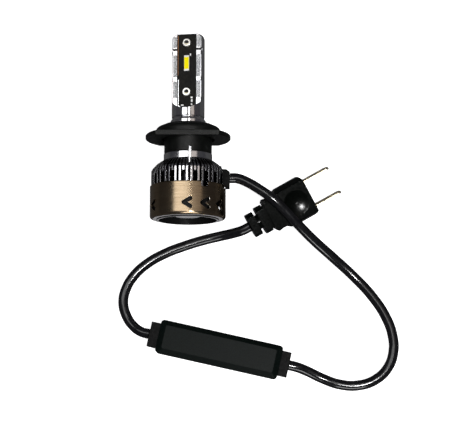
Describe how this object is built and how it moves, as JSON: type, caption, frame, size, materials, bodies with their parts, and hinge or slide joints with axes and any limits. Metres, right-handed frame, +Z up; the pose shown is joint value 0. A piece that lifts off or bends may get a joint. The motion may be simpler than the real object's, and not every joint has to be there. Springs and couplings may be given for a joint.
{
  "type": "headlight bulb",
  "caption": "LED headlight bulb with a finned heat sink, bronze fan shroud and twist-on seat collar, wired to an inline driver box and a two-blade plug.",
  "frame": {"origin": "on the lamp's axis in the seat plane, which is the front face of the collar's ear plate", "axes": "+Y along the lamp towards its tip, +Z up from the table that the bulb lies on, +X towards the cable's exit"},
  "size_m": [0.1228, 0.1555, 0.033],
  "materials": {
    "polished_aluminium": "turned and polished, with bead-blasted pockets",
    "fin_aluminium": "bright machined fins",
    "black_collar_metal": "satin black coating",
    "bronze_metal": "brushed champagne bronze anodising",
    "black_board": "black solder mask",
    "white_ceramic": "white ceramic and solder",
    "yellow_phosphor": "yellow phosphor",
    "plated_steel": "bright plated",
    "black_rubber": "moulded rubber",
    "cable_jacket": "glossy extruded jacket",
    "black_plastic": "moulded",
    "driver_plastic": "finely textured moulding",
    "plug_plastic": "satin moulding",
    "blade_brass": "nickel-plated brass, worn at the edges",
    "bearing_bronze": "sintered bronze",
    "core_steel": "laminated",
    "copper_wire": "enamelled copper",
    "dark_magnet": "sintered ferrite",
    "green_board": "green solder mask",
    "silver_label": "plain silver disc",
    "red_wire": "coloured insulation",
    "capacitor_can": "sleeved can"
  },
  "bodies": {
    "lamp": {"lamp_pillar": "polished_aluminium", "led_board_front": "black_board", "led_board_back": "black_board", "led_substrates": "white_ceramic", "led_phosphors": "yellow_phosphor", "board_screws": "plated_steel", "board_parts": "white_ceramic", "heat_sink": "fin_aluminium", "neck_o_ring": "black_rubber", "fan_shroud": "bronze_metal", "fan_frame": "black_plastic", "fan_bearing": "bearing_bronze", "fan_stator_core": "core_steel", "fan_coils": "copper_wire", "fan_circuit_board": "green_board", "fan_screws": "plated_steel", "cable_grommet": "black_rubber", "board_leads": "red_wire", "fan_leads": "black_rubber", "lamp_cable": "cable_jacket", "plug_cable": "cable_jacket", "driver_base": "driver_plastic", "driver_lid": "driver_plastic", "driver_sleeve_lamp_side": "black_rubber", "driver_sleeve_plug_side": "black_rubber", "driver_board": "green_board", "driver_inductor": "dark_magnet", "driver_capacitors": "capacitor_can", "driver_chips": "black_plastic", "plug_body": "plug_plastic", "plug_strain_relief": "plug_plastic", "plug_blade_upper": "blade_brass", "plug_blade_lower": "blade_brass", "plug_crimps": "copper_wire"},
    "collar": {"adapter_collar": "black_collar_metal"},
    "fan": {"fan_rotor": "black_plastic", "fan_magnet_ring": "dark_magnet", "fan_shaft": "plated_steel", "fan_hub_label": "silver_label"}
  },
  "joints": [
    {"name": "collar_twist", "type": "hinge", "parent": "lamp", "child": "collar", "pos_m": [0, -0.005, 0], "axis": [0, 1, 0], "range_deg": [0, 20]},
    {"name": "fan_spin", "type": "hinge", "parent": "lamp", "child": "fan", "pos_m": [0, -0.033, 0], "axis": [0, 1, 0], "continuous": true}
  ]
}
